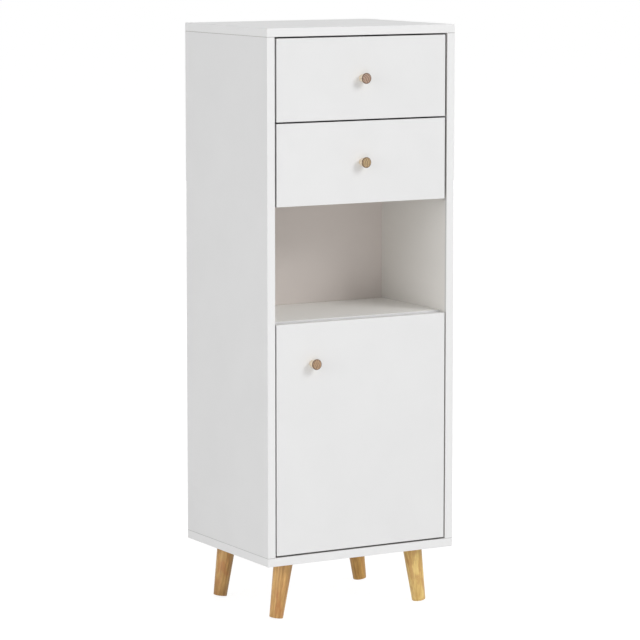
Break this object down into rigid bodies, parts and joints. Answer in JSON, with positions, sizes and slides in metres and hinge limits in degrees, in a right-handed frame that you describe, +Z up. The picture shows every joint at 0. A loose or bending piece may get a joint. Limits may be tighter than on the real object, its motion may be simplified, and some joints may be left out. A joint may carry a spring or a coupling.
{
  "type": "highboard",
  "caption": "Tall narrow highboard on splayed wooden legs, with drawers above an open niche, a cupboard door below and round wooden knobs.",
  "frame": {"origin": "on the floor, in the middle of the bounding box", "axes": "+Z up, the drawer fronts and the door face -Y, +X to the right as seen from the front"},
  "size_m": [0.4, 0.336, 1.1],
  "materials": {
    "white_board": "white melamine-faced particle board, satin",
    "white_hardboard": "thin hardboard with a white painted face, satin",
    "leg_wood": "turned solid oak, clear satin lacquer",
    "knob_wood": "turned solid wood, clear satin lacquer",
    "dowel_wood": "plain fluted beech",
    "runner_steel": "white epoxy-coated sheet steel",
    "hinge_steel": "nickel-plated steel",
    "plate_steel": "zinc-plated pressed steel",
    "zinc_fittings": "bright zinc plating",
    "roller_nylon": "white nylon",
    "buffer_plastic": "soft clear-white plastic"
  },
  "bodies": {
    "cabinet": {"top_panel": "white_board", "bottom_panel": "white_board", "left_side_panel": "white_board", "right_side_panel": "white_board", "niche_ceiling": "white_board", "niche_floor": "white_board", "niche_back": "white_board", "back_panel": "white_hardboard", "cupboard_shelf": "white_board", "shelf_pins": "zinc_fittings", "cam_locks": "zinc_fittings", "cam_bolts": "zinc_fittings", "wood_dowels": "dowel_wood", "front_left_leg": "leg_wood", "front_right_leg": "leg_wood", "back_left_leg": "leg_wood", "back_right_leg": "leg_wood", "leg_plates": "plate_steel", "leg_bolts": "zinc_fittings", "leg_plate_screws": "zinc_fittings", "cabinet_runners": "runner_steel", "runner_screws": "zinc_fittings", "hinge_plates": "hinge_steel", "hinge_arms": "hinge_steel", "hinge_plate_screws": "zinc_fittings", "door_buffers": "buffer_plastic"},
    "door": {"door_panel": "white_board", "door_knob": "knob_wood", "door_knob_screw": "zinc_fittings", "hinge_cups": "hinge_steel", "hinge_pins": "zinc_fittings", "hinge_cup_screws": "zinc_fittings"},
    "upper_drawer": {"upper_drawer_front": "white_board", "upper_drawer_left_side": "white_board", "upper_drawer_right_side": "white_board", "upper_drawer_back": "white_board", "upper_drawer_bottom": "white_hardboard", "upper_drawer_runners": "runner_steel", "upper_drawer_knob": "knob_wood", "upper_drawer_knob_screw": "zinc_fittings", "upper_drawer_cams": "zinc_fittings", "upper_drawer_bolts": "zinc_fittings", "upper_drawer_screws": "zinc_fittings"},
    "lower_drawer": {"lower_drawer_front": "white_board", "lower_drawer_left_side": "white_board", "lower_drawer_right_side": "white_board", "lower_drawer_back": "white_board", "lower_drawer_bottom": "white_hardboard", "lower_drawer_runners": "runner_steel", "lower_drawer_knob": "knob_wood", "lower_drawer_knob_screw": "zinc_fittings", "lower_drawer_cams": "zinc_fittings", "lower_drawer_bolts": "zinc_fittings", "lower_drawer_screws": "zinc_fittings"},
    "upper_front_rollers": {"upper_front_rollers": "roller_nylon"},
    "upper_rear_rollers": {"upper_rear_rollers": "roller_nylon"},
    "lower_front_rollers": {"lower_front_rollers": "roller_nylon"},
    "lower_rear_rollers": {"lower_rear_rollers": "roller_nylon"}
  },
  "joints": [
    {"name": "door_hinge", "type": "hinge", "parent": "cabinet", "child": "door", "pos_m": [0.1725, -0.1445, 0.344], "axis": [0, 0, 1], "range_deg": [0, 95]},
    {"name": "upper_drawer_slide", "type": "slide", "parent": "cabinet", "child": "upper_drawer", "axis": [0, -1, 0], "range_m": [0, 0.2]},
    {"name": "lower_drawer_slide", "type": "slide", "parent": "cabinet", "child": "lower_drawer", "axis": [0, -1, 0], "range_m": [0, 0.2]},
    {"name": "upper_front_roller_spin", "type": "hinge", "parent": "cabinet", "child": "upper_front_rollers", "pos_m": [0, -0.119, 0.96], "axis": [1, 0, 0], "range_deg": [0, 1440]},
    {"name": "upper_rear_roller_spin", "type": "hinge", "parent": "upper_drawer", "child": "upper_rear_rollers", "pos_m": [0, 0.101, 0.96], "axis": [1, 0, 0], "range_deg": [0, 1440]},
    {"name": "lower_front_roller_spin", "type": "hinge", "parent": "cabinet", "child": "lower_front_rollers", "pos_m": [0, -0.119, 0.8055], "axis": [1, 0, 0], "range_deg": [0, 1440]},
    {"name": "lower_rear_roller_spin", "type": "hinge", "parent": "lower_drawer", "child": "lower_rear_rollers", "pos_m": [0, 0.101, 0.8055], "axis": [1, 0, 0], "range_deg": [0, 1440]}
  ],
  "couplings": [
    {"joint": "upper_front_roller_spin", "follows": "upper_drawer_slide", "rad_per_m": 125},
    {"joint": "upper_rear_roller_spin", "follows": "upper_drawer_slide", "rad_per_m": 125},
    {"joint": "lower_front_roller_spin", "follows": "lower_drawer_slide", "rad_per_m": 125},
    {"joint": "lower_rear_roller_spin", "follows": "lower_drawer_slide", "rad_per_m": 125}
  ]
}
